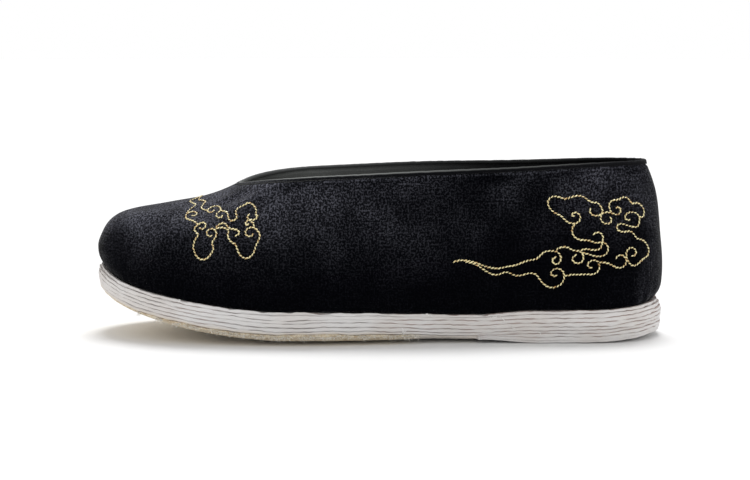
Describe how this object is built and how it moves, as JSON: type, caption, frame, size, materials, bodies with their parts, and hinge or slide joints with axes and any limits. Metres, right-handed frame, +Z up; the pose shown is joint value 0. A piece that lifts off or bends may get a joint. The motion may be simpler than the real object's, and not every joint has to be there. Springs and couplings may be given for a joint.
{
  "type": "cloth shoe",
  "caption": "Low slip-on cloth shoe for a left foot: a hollow upper with a bound collar on a layered cloth sole, with a thicker heel and a leather half sole.",
  "frame": {"origin": "on the floor, under the middle of the shoe's length and width", "axes": "+X along the shoe towards the heel, +Y towards the inner side of the foot, +Z up"},
  "size_m": [0.275, 0.0986, 0.0844],
  "materials": {
    "upper_cloth": "matte slub weave",
    "binding_cloth": "matte tape",
    "insole_cloth": "matte plain weave",
    "sole_cloth": "matte folded cotton",
    "half_sole_leather": "rough, fibrous"
  },
  "bodies": {
    "root": {"upper": "upper_cloth", "collar_binding": "binding_cloth", "insole": "insole_cloth", "sole_ply_1": "sole_cloth", "sole_ply_2": "sole_cloth", "sole_ply_3": "sole_cloth", "sole_ply_4": "sole_cloth", "sole_ply_5": "sole_cloth", "sole_ply_6": "sole_cloth", "heel_ply_1": "sole_cloth", "heel_ply_2": "sole_cloth", "heel_ply_3": "sole_cloth", "leather_half_sole": "half_sole_leather"}
  },
  "joints": []
}
